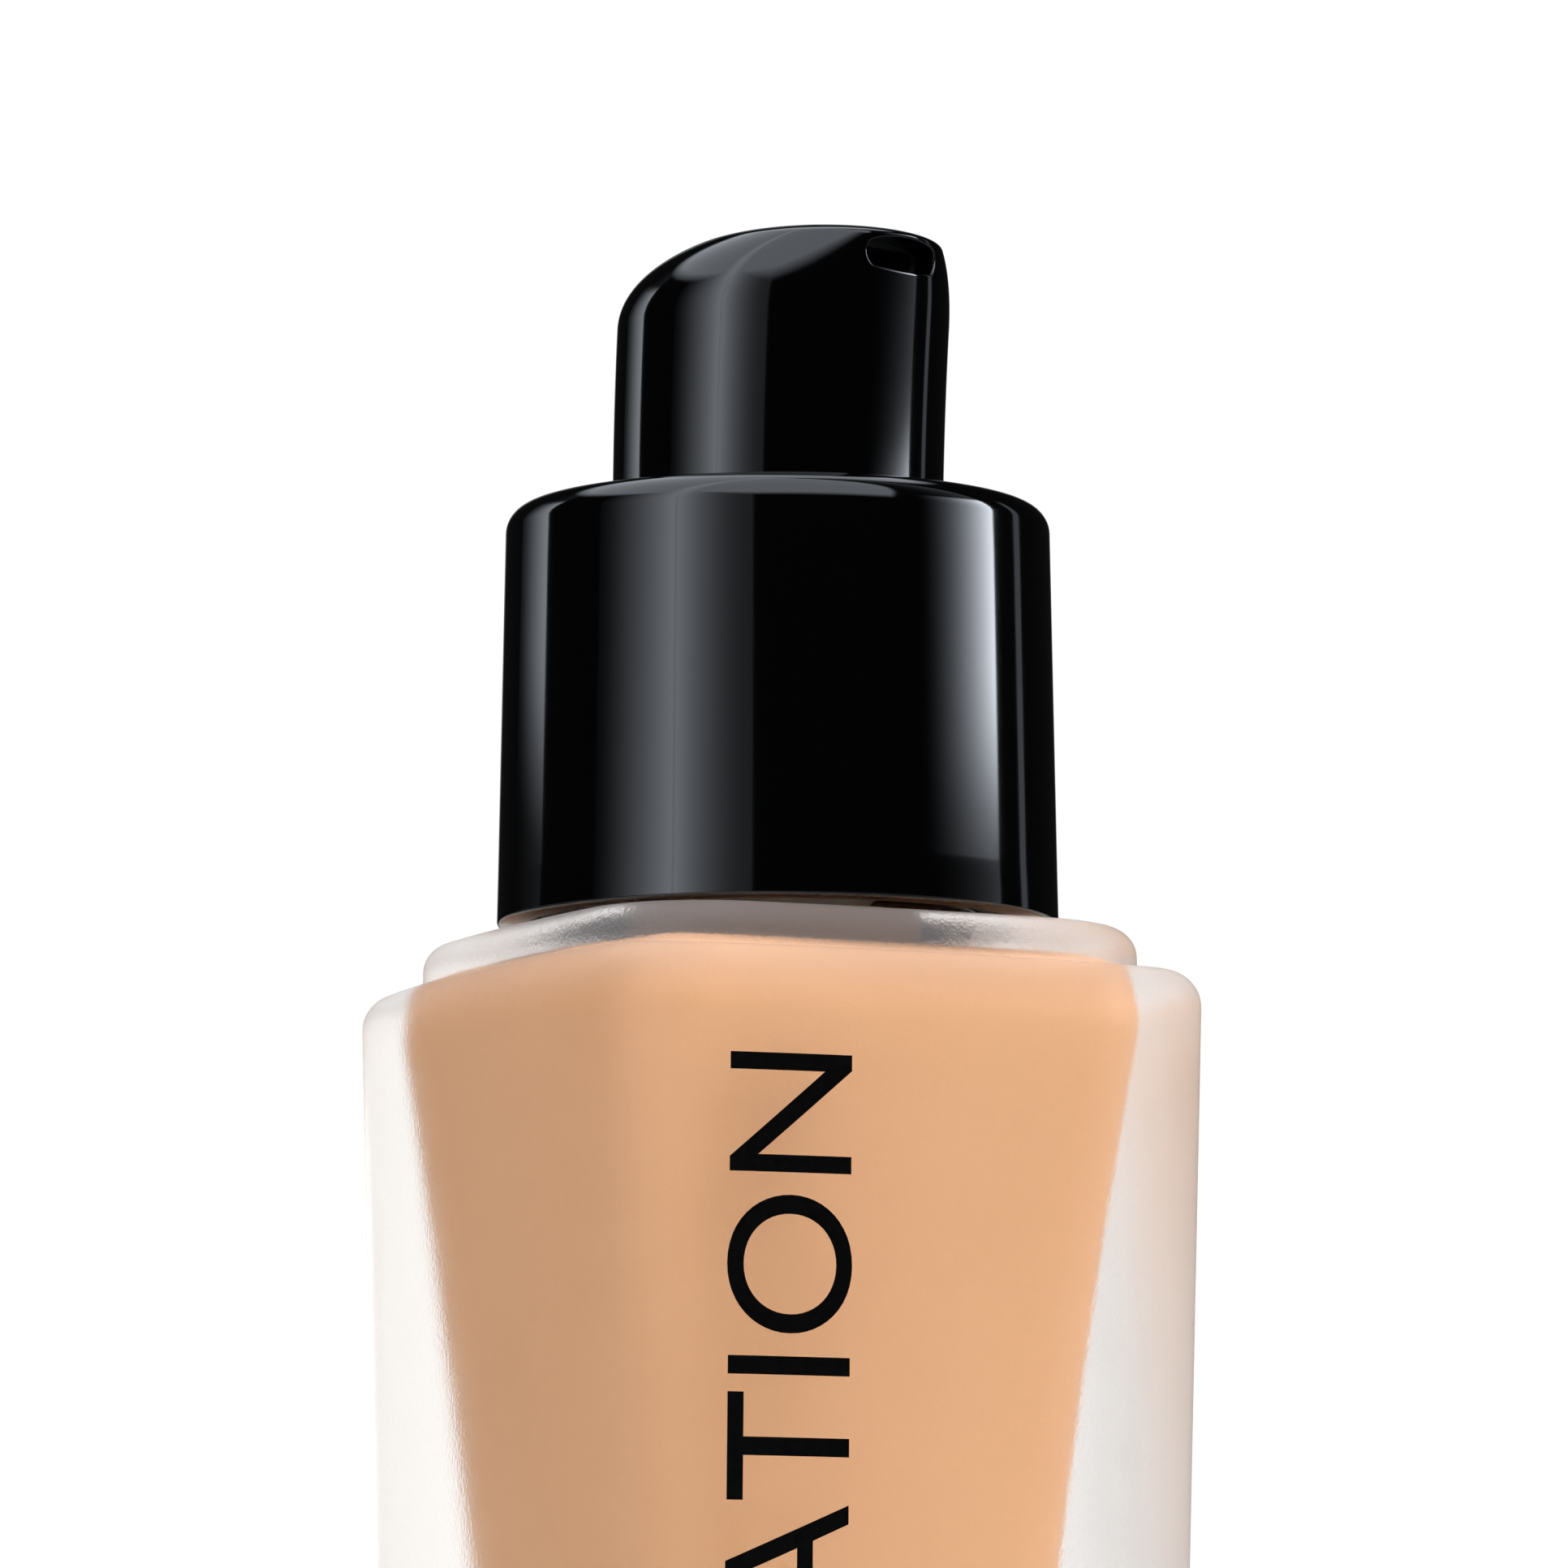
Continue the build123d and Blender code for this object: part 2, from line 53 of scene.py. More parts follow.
NECK_RADIUS, NECK_BORE, LIP_ROUND, LIP_CHAMFER, NECK_TOP = 8.8, 6.2, 0.4, 0.2, STEP_TOP + 9.4
NECK_FOOT_OUT, NECK_FOOT_UP, NECK_ROW = 0.2, 0.15, 0.12  # its rows are close enough to carry the thread
BEAD_RISE, BEAD_HALF, BEAD_DEPTH = 1.1, 0.45, 0.9
THREAD_LOW, THREAD_PITCH, THREAD_TURNS, THREAD_DEPTH = STEP_TOP + 3.4, 3.0, 1.25, 1.1
THREAD_HALF, THREAD_SLOPE, THREAD_FADE = 0.85, 0.5, 0.35
CAVITY_FLOOR, CAVITY_MIDDLE, CAVITY_TOP = 6.5, 38.0, 68.8
CAVITY_HALVES = 9.0, 10.8, 14.55
CAVITY_BOW, CAVITY_CORNER, CAVITY_ROUND, BORE_ROUND = 1.0, 4.2, 3.8, 1.2

AROUND = 320
turn = np.linspace(0, 2 * math.pi, AROUND, endpoint=False)
corner_turn = turn + 0.15 * np.sin(4 * turn)  # closer together at the four corners than along the sides


def edge(half, bow, corner, inset=0.0):
    """Distance from the middle to the edge of a bowed square, at every angle.

    A side is part of a large circle whose centre lies past the middle, and a corner is a small circle that
    touches two sides. A ray from the middle meets the one that lies at its angle. inset moves the edge in.
    """
    reach = (half**2 + bow**2) / (2 * bow)
    past = reach - half
    diagonal = (math.sqrt(2 * (reach - corner) ** 2 - past**2) - past) / 2
    large, small = reach - inset, corner - inset
    share = large / (reach - corner)
    change = math.atan2(diagonal * share, (diagonal + past) * share - past)
    fold = np.abs((corner_turn + math.pi / 4) % (math.pi / 2) - math.pi / 4)
    side = np.sqrt(large**2 - (past * np.sin(fold)) ** 2) - past * np.cos(fold)
    along = diagonal * (np.cos(fold) + np.sin(fold))
    round_part = np.sqrt(np.maximum(along**2 - 2 * diagonal**2 + small**2, 0)) + along
    return np.where(fold < change, side, round_part)


def body_edge(level, inset=0.0):
    """The body's outside at a level: a bowed square that loses its taper for every millimetre down."""
    return edge(BODY_HALF - BODY_TAPER * (BODY_HEIGHT - level), BODY_BOW, BODY_CORNER, inset)


def cavity_edge(level, inset=0.0):
    """The chamber's wall at a level: its half width is the parabola through floor, middle and ceiling."""
    curve = np.polyfit((CAVITY_FLOOR, CAVITY_MIDDLE, CAVITY_TOP), CAVITY_HALVES, 2)
    return edge(np.polyval(curve, level), CAVITY_BOW, CAVITY_CORNER, inset)


def neck_edge(level):
    """The neck's radius at every angle: a plain wall, a round bead near its foot, and a thread.

    The thread is a ridge that climbs one pitch a turn. At an angle it stands out by its depth, less the
    height away from the ridge's middle past the crest, and its two ends fade into the wall.
    """
    bead = BEAD_DEPTH * math.sqrt(max(1 - ((level - STEP_TOP - BEAD_RISE) / BEAD_HALF) ** 2, 0))
    out = np.full(AROUND, bead)
    end = 2 * math.pi * THREAD_TURNS
    for lap in range(2):
        along = corner_turn % (2 * math.pi) + lap * 2 * math.pi
        away = np.abs(level - THREAD_LOW - THREAD_PITCH * along / (2 * math.pi))
        ridge = THREAD_DEPTH * np.clip((THREAD_HALF - away) / THREAD_SLOPE, 0, 1)
        fade = np.clip(along / THREAD_FADE, 0, 1) * np.clip((end - along) / THREAD_FADE, 0, 1)
        out = np.maximum(out, ridge * fade)
    return NECK_RADIUS + out


def quarter(count):
    """Cosines and sines through a quarter turn, for the rows of a rounded edge."""
    angle = np.linspace(0, math.pi / 2, count)
    return list(zip(np.cos(angle), np.sin(angle)))


def stack(rows, at=corner_turn):
    """Points of a surface from its rows: each row is a level and its distances from the axis, round at."""
    level = np.array([np.full(AROUND, row[0]) for row in rows])
    reach = np.array([np.broadcast_to(row[1], AROUND) for row in rows])
    return np.stack([reach * np.cos(at), reach * np.sin(at), level], axis=-1)


def grid_quads(index):
    """Quads between neighbouring rows of point numbers, which face out where the rows climb."""
    lower, upper = index[:-1], index[1:]
    return np.stack([lower, np.roll(lower, -1, 1), np.roll(upper, -1, 1), upper], axis=-1)


def finish_piece(name, points, quads, finish, body, stands_for=None):
    """A smooth piece from its points in millimetres. Points that coincide are merged, which closes poles.

    Edges that turn by more than 40 degrees stay crisp.
    """
    mesh = bpy.data.meshes.new(name)
    mesh.from_pydata((points.reshape(-1, 3) * MM).tolist(), [], quads.reshape(-1, 4).tolist())
    shape = bmesh.new()
    shape.from_mesh(mesh)
    bmesh.ops.remove_doubles(shape, verts=shape.verts, dist=1e-7)
    bmesh.ops.dissolve_degenerate(shape, edges=shape.edges, dist=1e-8)
    shape.to_mesh(mesh)
    shape.free()
    mesh.shade_smooth()
    mesh.set_sharp_from_angle(angle=math.radians(40))
    mesh.materials.append(finish)
    piece = bpy.data.objects.new(name, mesh)
    bpy.context.scene.collection.objects.link(piece)
    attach(piece, body)
    if stands_for:
        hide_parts(stands_for)
    return piece


def lathe(name, points, finish, body, stands_for, closed_ring=False):
    """A piece from rows of points that run anticlockwise round it, seen from above.

    The first and last rows are poles, or join each other if the section is a closed ring.
    """
    index = np.arange(points.shape[0] * AROUND).reshape(-1, AROUND)
    if closed_ring:
        index = np.concatenate([index, index[:1]])
    return finish_piece(name, points, grid_quads(index), finish, body, stands_for)


def node(tree, kind, settings=None, **links):
    """Adds a shader node, sets its properties and inputs, and links the inputs that links names."""
    made = tree.nodes.new(kind)
    for key, value in (settings or {}).items():
        if key in made.inputs:
            made.inputs[key].default_value = value
        else:
            setattr(made, key, value)
    for key, output in links.items():
        tree.links.new(made.inputs[key.replace("_", " ")], output)
    return made


def linear(hex_colour):
    """An sRGB hex colour as linear red, green and blue with full alpha."""
    parts = [int(hex_colour[i:i + 2], 16) / 255 for i in (1, 3, 5)]
    return [c / 12.92 if c <= 0.04045 else ((c + 0.055) / 1.055) ** 2.4 for c in parts] + [1.0]


def material(name, **sockets):
    """A new material, its tree, its Principled shader with the sockets set, and Object coordinates."""
    made = bpy.data.materials.new(name)
    made.use_nodes = True
    tree = made.node_tree
    shader = tree.nodes["Principled BSDF"]
    for key, value in sockets.items():
        shader.inputs[key.replace("_", " ")].default_value = value
    return made, tree, shader, node(tree, "ShaderNodeTexCoord").outputs["Object"]


# Frosted soda-lime glass, acid etched: thick, pale and hazy, so what lies behind shows with a soft, sandy
# edge. The etch pits are 0.2 mm across. The shoulder and step are made milkier, a painted highlight for the
# light that falls on them from above. The haze scatters more than the glass bends, hence the weak IOR. The
# coat gives back the sheen of real glass.
MILKY_HIGHLIGHT_FROM, MILKY_HIGHLIGHT_FULL = BODY_HEIGHT - 2.5, BODY_HEIGHT + 0.5
frosted_glass, tree, shader, place = material(
    "frosted soda-lime glass, acid etched", Base_Color=linear("#fbf7f3"), IOR=1.1,
    Coat_Weight=0.1, Coat_IOR=1.5, Coat_Roughness=0.35)
pits = node(tree, "ShaderNodeTexNoise", {"Scale": 4500.0, "Detail": 2.0, "Roughness": 0.6}, Vector=place)
patches = node(tree, "ShaderNodeTexNoise", {"Scale": 300.0, "Detail": 3.0}, Vector=place)
haze = node(tree, "ShaderNodeMapRange", {"To Min": 0.25, "To Max": 0.36}, Value=patches.outputs["Fac"])
tree.links.new(shader.inputs["Roughness"], haze.outputs["Result"])
height = node(tree, "ShaderNodeSeparateXYZ", None, Vector=place)
# Less light passes through towards the shoulder and step, so they scatter more white there: a painted
# highlight.
painted_highlight_clearness = node(tree, "ShaderNodeMapRange", {
    "From Min": MILKY_HIGHLIGHT_FROM * MM, "From Max": MILKY_HIGHLIGHT_FULL * MM, "To Min": 0.99, "To Max": 0.87},
    Value=height.outputs["Z"])
tree.links.new(shader.inputs["Transmission Weight"], painted_highlight_clearness.outputs["Result"])
relief = node(tree, "ShaderNodeBump", {"Strength": 1.0, "Distance": 0.00004}, Height=pits.outputs["Fac"])
tree.links.new(shader.inputs["Normal"], relief.outputs["Normal"])

# The same glass where the mould and the flame left it: clear, with the faintest ripple.
clear_glass, tree, shader, place = material(
    "clear soda-lime glass, fire finished", Base_Color=linear("#fdfdfc"), Transmission_Weight=1.0, IOR=1.18,
    Roughness=0.03)
ripple = node(tree, "ShaderNodeTexNoise", {"Scale": 180.0, "Detail": 1.0}, Vector=place)
relief = node(tree, "ShaderNodeBump", {"Strength": 0.1, "Distance": 0.00005}, Height=ripple.outputs["Fac"])
tree.links.new(shader.inputs["Normal"], relief.outputs["Normal"])

# The rows run from the middle of the recess round the outside, over the lip, and down to the chamber's floor.
recess = edge(RECESS_HALF, RECESS_BOW, RECESS_CORNER)
rows = [(RECESS_DEPTH, recess * share) for share in (0, 0.3, 0.6, 0.9, 0.99)]
rows += [(RECESS_DEPTH - RECESS_CREASE, recess), (RECESS_ROUND, recess),
         (RECESS_CREASE, recess + RECESS_CREASE), (0, recess + RECESS_ROUND)]
rows += [(BASE_ROUND * (1 - c), body_edge(0, BASE_ROUND * (1 - s))) for c, s in quarter(12)]
rows += [(z, body_edge(z)) for z in np.linspace(BASE_ROUND, BODY_HEIGHT - SHOULDER_ROUND, 26)[1:]]
rows += [(z, body_edge(z, SHOULDER_ROUND * (1 - c)))
         for z, c in [(BODY_HEIGHT - SHOULDER_ROUND * (1 - s), c) for c, s in quarter(14)[1:]]]
step_foot = edge(STEP_HALF, STEP_BOW, STEP_CORNER)
rows += [(BODY_HEIGHT + STEP_FILLET * (1 - c), step_foot + STEP_FILLET * (1 - s)) for c, s in quarter(5)]
rows += [(STEP_TOP - STEP_ROUND * (1 - s), edge(STEP_HALF, STEP_BOW, STEP_CORNER, STEP_ROUND * (1 - c)))
         for c, s in quarter(12)]
rows += [(STEP_TOP, NECK_RADIUS + NECK_FOOT_OUT)]
rows += [(z, neck_edge(z)) for z in np.arange(STEP_TOP + NECK_FOOT_UP, NECK_TOP - LIP_ROUND - 0.05, NECK_ROW)]
rows += [(NECK_TOP - LIP_ROUND * (1 - s), NECK_RADIUS - LIP_ROUND * (1 - c)) for c, s in quarter(6)]
rows += [(NECK_TOP, NECK_BORE + LIP_CHAMFER), (NECK_TOP - LIP_CHAMFER, NECK_BORE)]
rows += [(z, NECK_BORE) for z in np.linspace(NECK_TOP - 3, CAVITY_TOP + BORE_ROUND, 5)]
rows += [(CAVITY_TOP + BORE_ROUND * (1 - s), NECK_BORE + BORE_ROUND * (1 - c)) for c, s in quarter(6)[1:]]
rows += [(z, cavity_edge(z, CAVITY_ROUND * (1 - s)))
         for z, s in [(CAVITY_TOP - CAVITY_ROUND * (1 - c), s) for c, s in quarter(14)]]
rows += [(z, cavity_edge(z))
         for z in np.linspace(CAVITY_TOP - CAVITY_ROUND, CAVITY_FLOOR + CAVITY_ROUND, 24)[1:]]
rows += [(z, cavity_edge(z, CAVITY_ROUND * (1 - c)))
         for z, c in [(CAVITY_FLOOR + CAVITY_ROUND * (1 - s), c) for c, s in quarter(12)[1:]]]
rows += [(CAVITY_FLOOR, cavity_edge(CAVITY_FLOOR, CAVITY_ROUND) * share) for share in (0.6, 0.3, 0)]
bottle = lathe("bottle_glass", stack(rows), frosted_glass, "bottle", "glass_bottle")
bottle.data.materials.append(clear_glass)
# Clear faces are those of the neck and of the chamber: its walls face the axis, and its rounded ceiling down.
centres, normals = np.zeros((2, len(bottle.data.polygons) * 3))
bottle.data.polygons.foreach_get("center", centres)
bottle.data.polygons.foreach_get("normal", normals)
centres, normals = centres.reshape(-1, 3) / MM, normals.reshape(-1, 3)
face_level = centres[:, 2]
neck = face_level > STEP_TOP + 0.1
faces_axis = (centres[:, :2] * normals[:, :2]).sum(1) < -1e-4
on_floor = np.abs(face_level - CAVITY_FLOOR) < 0.5
on_ceiling = (normals[:, 2] < -0.2) & (face_level > CAVITY_TOP - CAVITY_ROUND - 0.2)
chamber = (face_level > CAVITY_FLOOR - 0.1) & (faces_axis | on_floor | on_ceiling)
bottle.data.polygons.foreach_set("material_index", (neck | chamber).astype(np.int32))

# ---------------------------------------------------------------- foundation
# The liquid: an opaque emulsion of pigment, silicone and water. It wets the glass, so its skin lies a hair
# inside the wall, and it closes round the pump that hangs in it.
FILL_LEVEL, WETTING, MENISCUS = 70.5, 0.03, 0.3
# Radius and level of the pump's outside, from the housing's barrel down to the end of the dip tube.
PUMP_IN_LIQUID = ((5.05, 57.2), (3.65, 56.7), (3.65, 52.1), (2.95, 51.9), (2.95, 45.9), (1.95, 45.8),
                  (1.95, 7.7))
TUBE_MOUTH, CREASE = 1.0, 0.1

rows = [(CAVITY_FLOOR - WETTING, cavity_edge(CAVITY_FLOOR, CAVITY_ROUND) * share) for share in (0, 0.3, 0.6)]
rows += [(z - WETTING, cavity_edge(z, CAVITY_ROUND * (1 - s)) + WETTING)
         for z, s in [(CAVITY_FLOOR + CAVITY_ROUND * (1 - c), s) for c, s in quarter(12)]]
rows += [(z, cavity_edge(z) + WETTING)
         for z in np.linspace(CAVITY_FLOOR + CAVITY_ROUND, CAVITY_TOP - CAVITY_ROUND, 24)[1:]]
rows += [(z + WETTING, cavity_edge(z, CAVITY_ROUND * (1 - c)) + WETTING)
         for z, c in [(CAVITY_TOP - CAVITY_ROUND * (1 - s), c) for c, s in quarter(14)[1:]]]
rows += [(CAVITY_TOP + WETTING + BORE_ROUND * (1 - c), NECK_BORE + WETTING + BORE_ROUND * (1 - s))
         for c, s in quarter(6)]
rows += [(FILL_LEVEL, NECK_BORE + WETTING), (FILL_LEVEL - MENISCUS, NECK_BORE - MENISCUS),
         (FILL_LEVEL - MENISCUS, PUMP_IN_LIQUID[0][0] + MENISCUS), (FILL_LEVEL, PUMP_IN_LIQUID[0][0])]
rows += [(level, radius) for radius, level in PUMP_IN_LIQUID]
rows += [(PUMP_IN_LIQUID[-1][1] - CREASE, TUBE_MOUTH), (PUMP_IN_LIQUID[-1][1] - CREASE, 0)]

# Pigmented emulsion: even and opaque, with slow streaks where it was poured, a few millimetres across.
emulsion, tree, shader, place = material("foundation, pigmented emulsion", IOR=1.4, Roughness=0.45)
streaks = node(tree, "ShaderNodeTexNoise", {"Scale": 160.0, "Detail": 2.0, "Distortion": 0.6}, Vector=place)
beige = node(tree, "ShaderNodeValToRGB", None, Fac=streaks.outputs["Fac"])
beige.color_ramp.elements[0].color = linear("#b98961")
beige.color_ramp.elements[1].color = linear("#bf9068")
tree.links.new(shader.inputs["Base Color"], beige.outputs["Color"])
lathe("foundation", stack(rows), emulsion, "bottle", "foundation_fill")

# ---------------------------------------------------------------- printed word
# One pass of black enamel, screen-printed on the front face and fired before filling. The word is plain and
# reads upwards. It stands out by the thickness of the ink.
PRINT_TOP, PRINT_BASE, PRINT_CAPS, PRINT_SPACING, INK = 62.8, -4.3, 6.1, 1.0, 0.03
PRINT_STEP = 0.5  # longest edge of its mesh, so that the word bends with the glass

# Fired enamel: dense black, with a slight sheen and pinholes of the screen's mesh, 0.3 mm apart.
enamel, tree, shader, place = material("black glass enamel, screen printed", Base_Color=linear("#060606"))
screen = node(tree, "ShaderNodeTexNoise", {"Scale": 3300.0, "Detail": 1.0}, Vector=place)
sheen = node(tree, "ShaderNodeMapRange", {"To Min": 0.14, "To Max": 0.26}, Value=screen.outputs["Fac"])
tree.links.new(shader.inputs["Roughness"], sheen.outputs["Result"])

letters = bpy.data.curves.new("front_print", "FONT")
letters.body = "FOUNDATION"
letters.space_character = PRINT_SPACING
letters.extrude = 0.01
written = bpy.data.objects.new("front_print", letters)
bpy.context.scene.collection.objects.link(written)
bpy.context.view_layer.update()
mesh = bpy.data.meshes.new_from_object(written.evaluated_get(bpy.context.evaluated_depsgraph_get()))
bpy.data.objects.remove(written)
shape = bmesh.new()
shape.from_mesh(mesh)
bmesh.ops.remove_doubles(shape, verts=shape.verts, dist=1e-6)
cap_height = max(v.co.y for v in shape.verts) - min(v.co.y for v in shape.verts)
scale = PRINT_CAPS / cap_height
for _ in range(4):
    bmesh.ops.triangulate(shape, faces=shape.faces)
    long_edges = [e for e in shape.edges if e.calc_length() * scale > PRINT_STEP]
    bmesh.ops.subdivide_edges(shape, edges=long_edges, cuts=1)
bmesh.ops.triangulate(shape, faces=shape.faces)
shape.to_mesh(mesh)
shape.free()
word = np.zeros(len(mesh.vertices) * 3)
mesh.vertices.foreach_get("co", word)
word = word.reshape(-1, 3)
across, upwards = (word[:, 1] - word[:, 1].min()) * scale, (word[:, 0] - word[:, 0].max()) * scale
x, z = PRINT_BASE - across, PRINT_TOP + upwards
# The face at x and z is part of the large circle of the body's bowed side.
half = BODY_HALF - BODY_TAPER * (BODY_HEIGHT - z)
reach = (half**2 + BODY_BOW**2) / (2 * BODY_BOW)
face = np.sqrt(reach**2 - x**2) - (reach - half)
stands_out = np.where(word[:, 2] > 0, INK, 0.005)
mesh.vertices.foreach_set("co", (np.stack([x, -(face + stands_out), z], -1) * MM).ravel())
mesh.materials.clear()
mesh.materials.append(enamel)
front_print = bpy.data.objects.new("front_print", mesh)
bpy.context.scene.collection.objects.link(front_print)
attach(front_print, "bottle")

# ---------------------------------------------------------------- collar
# Injection-moulded ABS, high-gloss black, pressed over the screw cap. Its wall drafts in towards the top.
COLLAR_LOW, COLLAR_TOP = STEP_TOP + 0.5, STEP_TOP + 20.7
COLLAR_RADIUS_LOW, COLLAR_RADIUS_TOP, COLLAR_BORE = 13.42, 13.03, 12.0
COLLAR_PLATE, COLLAR_ROUND, COLLAR_WINDOW, RIM_ROUND = 1.3, 1.3, 8.25, 0.2

# Black ABS from a polished mould: a deep mirror-like black. Moulding leaves long waves too low to feel, and
# handling leaves faint smears a few millimetres across.
black_gloss, tree, shader, place = material(
    "black ABS, polished mould", Base_Color=linear("#020202"), IOR=1.52)
smears = node(tree, "ShaderNodeTexNoise", {"Scale": 260.0, "Detail": 3.0}, Vector=place)
dull = node(tree, "ShaderNodeMapRange", {"To Min": 0.05, "To Max": 0.09}, Value=smears.outputs["Fac"])
tree.links.new(shader.inputs["Roughness"], dull.outputs["Result"])
waves = node(tree, "ShaderNodeTexNoise", {"Scale": 90.0, "Detail": 0.0}, Vector=place)
relief = node(tree, "ShaderNodeBump", {"Strength": 0.02, "Distance": 0.0002}, Height=waves.outputs["Fac"])
tree.links.new(shader.inputs["Normal"], relief.outputs["Normal"])

draft = (COLLAR_RADIUS_LOW - COLLAR_RADIUS_TOP) / (COLLAR_TOP - COLLAR_LOW)
rows = [(COLLAR_LOW + RIM_ROUND * (1 - s), COLLAR_RADIUS_LOW - RIM_ROUND * (1 - c))
        for c, s in quarter(6)[::-1]]
rows += [(z, COLLAR_RADIUS_LOW - draft * (z - COLLAR_LOW))
         for z in np.linspace(COLLAR_LOW + RIM_ROUND, COLLAR_TOP - COLLAR_ROUND, 10)[1:]]
rows += [(COLLAR_TOP - COLLAR_ROUND * (1 - s), COLLAR_RADIUS_TOP + COLLAR_ROUND * (draft - 1 + c))
         for c, s in quarter(14)[1:]]
rows += [(COLLAR_TOP, 10.0)]
rows += [(COLLAR_TOP - RIM_ROUND * (1 - c), COLLAR_WINDOW + RIM_ROUND * (1 - s)) for c, s in quarter(6)]
rows += [(COLLAR_TOP - COLLAR_PLATE, COLLAR_WINDOW), (COLLAR_TOP - COLLAR_PLATE, COLLAR_BORE - 0.3)]
rows += [(COLLAR_TOP - COLLAR_PLATE - 0.3, COLLAR_BORE), (COLLAR_LOW + 0.1, COLLAR_BORE)]
rows += [(COLLAR_LOW, COLLAR_BORE + 0.1)]
lathe("collar", stack(rows, turn), black_gloss, "closure", "collar_shell", closed_ring=True)

# ---------------------------------------------------------------- head
# The actuator, moulded in the same black ABS. It is a round post whose dome leans over the spout: low and
# round behind, steep in front, with a slot-shaped mouth just under the front edge.
HEAD_LOW, HEAD_TOP = COLLAR_TOP - 1.9, COLLAR_TOP + 13.0
HEAD_RADIUS, HEAD_SPREAD, HEAD_LEAN = 7.93, 0.07, 0.72
BACK_ROUND, FRONT_ROUND, APEX_SHIFT, DOME_POWER = 4.4, 0.8, 2.7, 2.16
HEAD_BORE, HOLLOW_TOP, HOLLOW_ROUND, SKIRT_ROUND = 6.65, COLLAR_TOP + 9.62, 1.3, 0.15
SPOUT_TURN = math.radians(20.0)
MOUTH_LEVEL, MOUTH_WIDTH, MOUTH_HEIGHT, MOUTH_LIP = COLLAR_TOP + 11.35, 4.6, 1.56, 0.14
PASSAGE = 7.2, 6.4, 5.5  # distances from the head's axis where the rows of the passage lie
WINDOW_DEGREES, WINDOW_BELOW, WINDOW_SPREAD = 25, 1.9, 1.25
WINDOW_TOP = HEAD_TOP - 0.42


def head_section(level):
    """Radius of the head at a level, and how far its centre lies towards the spout.

    Front and back climb almost straight. Each ends in a quarter of a superellipse, a tall one behind and a
    low one over the spout, and the two meet at the apex.
    """
    climb = (level - HEAD_LOW) / (HEAD_TOP - HEAD_LOW)
    reach = HEAD_RADIUS + HEAD_SPREAD * climb
    lean = HEAD_LEAN * climb**2
    back_share = np.clip(1 - (HEAD_TOP - level) / BACK_ROUND, 0, 1)
    front_share = np.clip(1 - (HEAD_TOP - level) / FRONT_ROUND, 0, 1)
    back_in = 1 - (1 - back_share**DOME_POWER) ** (1 / DOME_POWER)
    front_in = 1 - (1 - front_share**DOME_POWER) ** (1 / DOME_POWER)
    back = lean - reach + (APEX_SHIFT - lean + reach) * back_in
    front = lean + reach + (APEX_SHIFT - lean - reach) * front_in
    return (front - back) / 2, (front + back) / 2


def on_front(side, level):
    """Points of the head's front at distances to the spout's side and levels: a chord of each section."""
    radius, lean = head_section(level)
    return np.stack([lean + np.sqrt(radius**2 - side**2), side, level], -1)


dome_low = HEAD_TOP - BACK_ROUND
levels = np.concatenate([np.linspace(HEAD_LOW + SKIRT_ROUND, dome_low, 24)[:-1],
                         dome_low + BACK_ROUND * np.sin(np.linspace(0, math.pi / 2, 90))])
radii, leans = head_section(levels)
outside = np.stack([leans[:, None] + radii[:, None] * np.cos(turn), radii[:, None] * np.sin(turn),
                    np.repeat(levels[:, None], AROUND, 1)], -1)
rows = [(HOLLOW_TOP, 0.0), (HOLLOW_TOP, 3.0)]
rows += [(HOLLOW_TOP - HOLLOW_ROUND * (1 - c), HEAD_BORE - HOLLOW_ROUND * (1 - s)) for c, s in quarter(8)]
rows += [(HEAD_LOW + SKIRT_ROUND, HEAD_BORE), (HEAD_LOW, HEAD_BORE + SKIRT_ROUND)]
rows += [(HEAD_LOW + SKIRT_ROUND * (1 - c), HEAD_RADIUS - SKIRT_ROUND * (1 - s)) for c, s in quarter(6)[:-1]]
inside = stack(rows, turn)

# The mouth fills a window in the grid of the outside. Rings of points run from the window's border to the
# slot's outline, then over a small round lip and in along the passage, which ends behind the mouthpiece.
window_half = round(AROUND * WINDOW_DEGREES / 360)
first, last = np.searchsorted(levels, (MOUTH_LEVEL - WINDOW_BELOW, WINDOW_TOP))
steps = np.arange(-window_half, window_half + 1)
border = np.array([(first, c) for c in steps[:-1]] + [(r, steps[-1]) for r in range(first, last)]
                  + [(last, c) for c in steps[:0:-1]] + [(r, steps[0]) for r in range(last, first, -1)])
border_side, border_level = outside[border[:, 0], border[:, 1] % AROUND, 1:].T
slot_half = (MOUTH_WIDTH - MOUTH_HEIGHT) / 2
nearest = np.clip(border_side * slot_half / border_side.max() * WINDOW_SPREAD, -slot_half, slot_half)
away = np.stack([border_side - nearest, border_level - MOUTH_LEVEL], -1)
away /= np.linalg.norm(away, axis=1)[:, None]
lip_side, lip_level = (np.stack([nearest, np.full(len(nearest), MOUTH_LEVEL)], -1)
                       + away * (MOUTH_HEIGHT / 2 + MOUTH_LIP)).T
slot_side, slot_level = (np.stack([nearest, np.full(len(nearest), MOUTH_LEVEL)], -1)
                         + away * MOUTH_HEIGHT / 2).T
rings = [on_front(border_side + (lip_side - border_side) * share,
                  border_level + (lip_level - border_level) * share)
         for share in 1 - np.linspace(1, 0, 12)[1:] ** 1.4]
lip, mouth_corner = rings[-1], on_front(slot_side, slot_level)
mouth_edge = mouth_corner - np.array([MOUTH_LIP, 0, 0])
rings += [(1 - share) ** 2 * lip + 2 * share * (1 - share) * mouth_corner + share**2 * mouth_edge
          for share in np.linspace(0, 1, 7)[1:]]
rings += [np.stack([np.minimum(mouth_edge[:, 0], depth), slot_side, slot_level], -1) for depth in PASSAGE]
rings += [np.tile([PASSAGE[-1], 0, MOUTH_LEVEL], (len(border), 1))]

